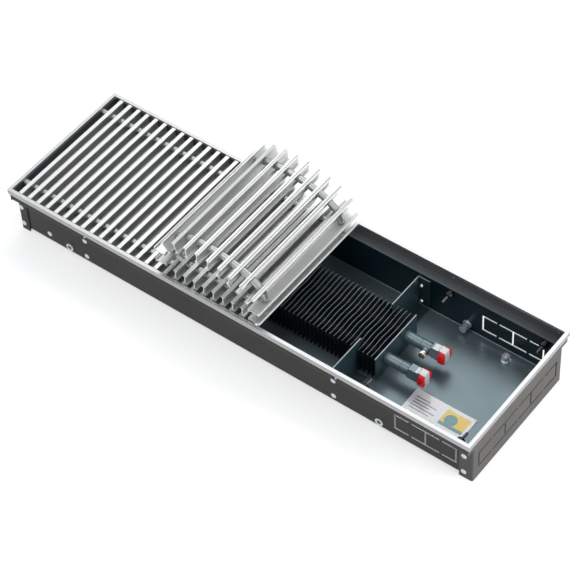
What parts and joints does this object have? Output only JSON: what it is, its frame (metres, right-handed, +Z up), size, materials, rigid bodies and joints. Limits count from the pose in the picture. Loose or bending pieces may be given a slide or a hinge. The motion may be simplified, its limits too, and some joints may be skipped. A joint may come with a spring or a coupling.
{
  "type": "trench_convector_heater",
  "caption": "Trench convector heater: dark steel floor trough with aluminium rim, finned heat exchanger with capped pipe tails, and a roll-up louvre grille half rolled back.",
  "frame": {"origin": "on the floor below the middle of the rim, with the end caps standing on the floor", "axes": "+X along the trough towards its connection end, +Y to its back wall, +Z up"},
  "size_m": [0.8, 0.24, 0.1707],
  "materials": {
    "casing_paint": "semi-gloss powder coat, dark blue-grey inside and warm dark grey outside",
    "end_cap_paint": "satin coat, warm grey",
    "rim_aluminium": "natural anodised, ribbed on its outer face",
    "louvre_aluminium": "natural anodised extrusion",
    "zinc": "bright zinc plate",
    "black_plastic": "moulded black plastic",
    "spacer_plastic": "moulded grey plastic",
    "spring_steel": "plain spring steel",
    "fin_coating": "black coated aluminium fins",
    "exchanger_paint": "semi-gloss dark blue-grey coat",
    "copper": "drawn copper",
    "fitting_paint": "semi-gloss blue-grey coat over brass",
    "vent_nickel": "nickel plate",
    "cap_plastic": "red moulded plastic",
    "tape": "white adhesive tape",
    "label_print": "printed white leaflet in a clear sleeve"
  },
  "bodies": {
    "casing": {"tray": "casing_paint", "end_cap_right": "end_cap_paint", "end_cap_left": "end_cap_paint", "rim_front": "rim_aluminium", "rim_back": "rim_aluminium", "rim_right": "rim_aluminium", "rim_left": "rim_aluminium", "end_cap_rivets": "zinc", "wall_rivet": "zinc", "band_rivets": "zinc", "bracket_right": "exchanger_paint", "bracket_left": "exchanger_paint", "bracket_screws": "zinc", "levelling_nuts": "zinc", "side_nuts": "zinc", "side_studs": "zinc", "stud_heads": "black_plastic", "fin_pack": "fin_coating", "end_plate_right": "exchanger_paint", "end_plate_left": "exchanger_paint", "copper_tube_front": "copper", "copper_tube_back": "copper", "return_bend": "copper", "tail_front": "fitting_paint", "tail_back": "fitting_paint", "union_front": "fitting_paint", "union_back": "fitting_paint", "air_vent_body": "vent_nickel", "info_label": "label_print"},
    "grille": {"flat_louvres": "louvre_aluminium", "flat_spacers": "spacer_plastic", "flat_springs": "spring_steel"},
    "grille_roll": {"rolled_louvres": "louvre_aluminium", "rolled_spacers": "spacer_plastic", "rolled_springs": "spring_steel"},
    "cap_front": {"cap_front": "cap_plastic", "tape_front": "tape"},
    "cap_back": {"cap_back": "cap_plastic", "tape_back": "tape"},
    "vent_spindle": {"air_vent_spindle": "vent_nickel"}
  },
  "joints": [
    {"name": "grille_lift", "type": "slide", "parent": "casing", "child": "grille", "axis": [0, 0, 1], "range_m": [0, 0.15]},
    {"name": "roll_swing", "type": "hinge", "parent": "grille", "child": "grille_roll", "pos_m": [0.04136, 0, 0.08742], "axis": [0, 1, 0], "range_deg": [0, 90]},
    {"name": "cap_front_pull", "type": "slide", "parent": "casing", "child": "cap_front", "axis": [1, 0, 0], "range_m": [0, 0.06]},
    {"name": "cap_back_pull", "type": "slide", "parent": "casing", "child": "cap_back", "axis": [1, 0, 0], "range_m": [0, 0.06]},
    {"name": "vent_turn", "type": "hinge", "parent": "casing", "child": "vent_spindle", "pos_m": [0.2337, 0, 0.032], "axis": [0, -1, 0], "range_deg": [0, 360]}
  ]
}
